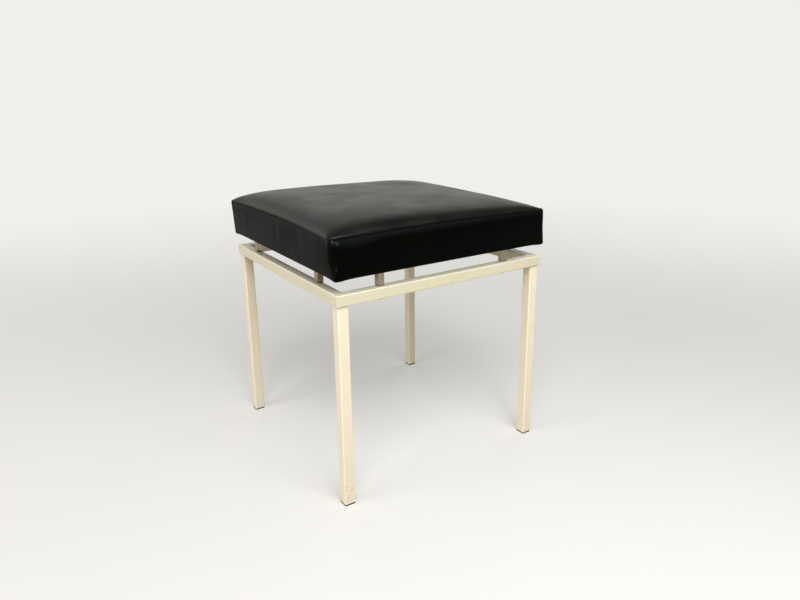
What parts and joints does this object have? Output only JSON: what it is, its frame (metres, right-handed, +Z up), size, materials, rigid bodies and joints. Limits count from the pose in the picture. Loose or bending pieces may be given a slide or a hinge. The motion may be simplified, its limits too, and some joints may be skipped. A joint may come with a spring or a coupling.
{
  "type": "shoe fitting stool",
  "caption": "Low square stool for trying on shoes: a padded leatherette box cushion on square spacers over a welded frame of square steel tube.",
  "frame": {"origin": "on the floor, under the middle of the stool", "axes": "+Z up from the floor through the cushion, +X to the right along the front rail, -Y the front"},
  "size_m": [0.4528, 0.4528, 0.502],
  "materials": {
    "cream_paint": "semi-gloss powder coat",
    "cap_black": "moulded",
    "nickel": "bright nickel plate",
    "zinc_screw": "zinc plated",
    "plywood": "sawn, unsealed",
    "foam": "open foam",
    "wadding": "fluffy",
    "leatherette": "fine grain, semi-matt",
    "leatherette_piping": "fine grain, semi-matt",
    "staple_steel": "galvanised wire",
    "dust_cloth": "spunbond cloth"
  },
  "bodies": {
    "root": {"front_rail": "cream_paint", "back_rail": "cream_paint", "left_rail": "cream_paint", "right_rail": "cream_paint", "leg_front_left": "cream_paint", "leg_front_right": "cream_paint", "leg_back_left": "cream_paint", "leg_back_right": "cream_paint", "leg_welds": "cream_paint", "foot_cap_front_left": "cap_black", "foot_cap_front_right": "cap_black", "foot_cap_back_left": "cap_black", "foot_cap_back_right": "cap_black", "spacer_front_left": "nickel", "spacer_front_right": "nickel", "spacer_back_left": "nickel", "spacer_back_right": "nickel", "spacer_left_front": "nickel", "spacer_left_back": "nickel", "spacer_right_front": "nickel", "spacer_right_back": "nickel", "seat_screws": "zinc_screw", "screw_washers": "zinc_screw", "seat_board": "plywood", "foam_pad": "foam", "wadding": "wadding", "cover_top": "leatherette", "cover_border": "leatherette", "seam_piping": "leatherette_piping", "cover_staples": "staple_steel", "dust_cover": "dust_cloth", "dust_cover_staples": "staple_steel"}
  },
  "joints": []
}
